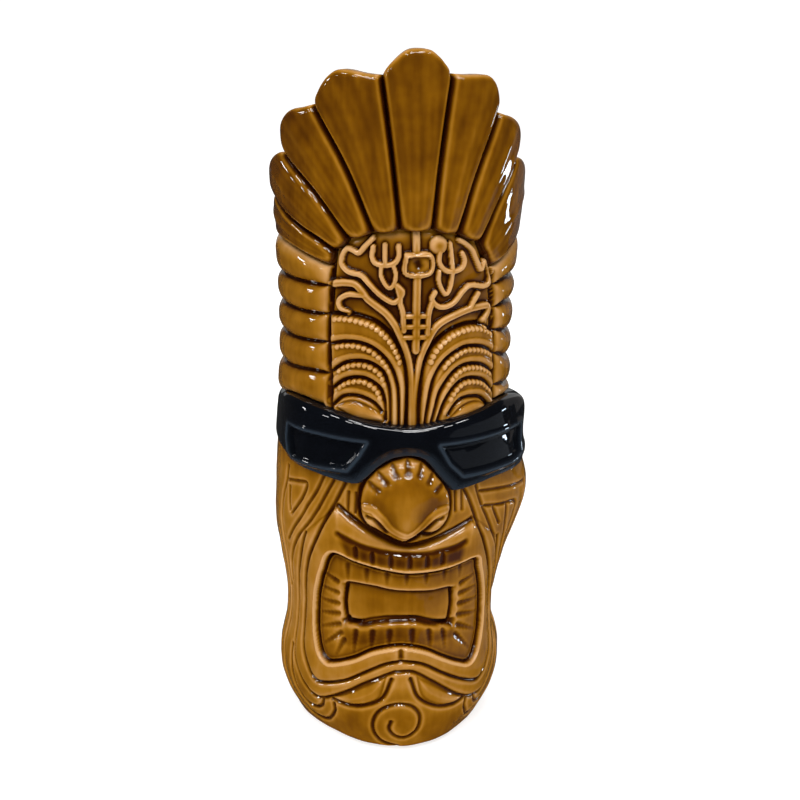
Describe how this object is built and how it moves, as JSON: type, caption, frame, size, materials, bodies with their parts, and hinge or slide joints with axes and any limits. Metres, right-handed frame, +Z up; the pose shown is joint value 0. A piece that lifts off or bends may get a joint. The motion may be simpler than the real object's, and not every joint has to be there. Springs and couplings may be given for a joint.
{
  "type": "tiki mug",
  "caption": "Tall glazed drinking mug modelled as a carved mask with a fanned leaf crest, coiled side ridges, open snarling mouth and dark wrap-round glasses.",
  "frame": {"origin": "middle of the foot, on the table", "axes": "+Z up, the face looks along -Y, +X to the viewer's right"},
  "size_m": [0.0845, 0.0805, 0.2158],
  "materials": {
    "amber_glaze": "gloss honey-brown glaze that pools dark brown in the grooves and thins to tan on the edges",
    "black_glaze": "gloss black glaze",
    "bare_clay": "dry unglazed clay, matt"
  },
  "bodies": {
    "root": {"back_panel": "amber_glaze", "brow_arm_left": "amber_glaze", "brow_arm_right": "amber_glaze", "brow_band_left_1": "amber_glaze", "brow_band_left_2": "amber_glaze", "brow_band_left_3": "amber_glaze", "brow_band_left_4": "amber_glaze", "brow_band_right_1": "amber_glaze", "brow_band_right_2": "amber_glaze", "brow_band_right_3": "amber_glaze", "brow_band_right_4": "amber_glaze", "brow_panel": "amber_glaze", "brow_scroll_left": "amber_glaze", "brow_scroll_right": "amber_glaze", "brow_stem": "amber_glaze", "cheek_left": "amber_glaze", "cheek_right": "amber_glaze", "chin": "amber_glaze", "chin_spiral": "amber_glaze", "crest_leaf_centre": "amber_glaze", "crest_leaf_left_1": "amber_glaze", "crest_leaf_left_2": "amber_glaze", "crest_leaf_left_3": "amber_glaze", "crest_leaf_left_4": "amber_glaze", "crest_leaf_right_1": "amber_glaze", "crest_leaf_right_2": "amber_glaze", "crest_leaf_right_3": "amber_glaze", "foot_plate": "bare_clay", "glasses_arm_left": "black_glaze", "glasses_arm_right": "black_glaze", "glasses_frame": "black_glaze", "glasses_lens_left": "black_glaze", "glasses_lens_right": "black_glaze", "lower_lip": "amber_glaze", "nose": "amber_glaze", "side_ridge_left_1": "amber_glaze", "side_ridge_left_2": "amber_glaze", "side_ridge_left_3": "amber_glaze", "side_ridge_left_4": "amber_glaze", "side_ridge_left_5": "amber_glaze", "side_ridge_right_1": "amber_glaze", "side_ridge_right_2": "amber_glaze", "side_ridge_right_3": "amber_glaze", "side_ridge_right_4": "amber_glaze", "side_ridge_right_5": "amber_glaze", "side_ridge_right_6": "amber_glaze", "teeth_lower": "amber_glaze", "teeth_upper": "amber_glaze", "tongue": "amber_glaze", "upper_lip": "amber_glaze", "vessel_body": "amber_glaze", "whiskers_left": "amber_glaze", "whiskers_right": "amber_glaze"}
  },
  "joints": []
}
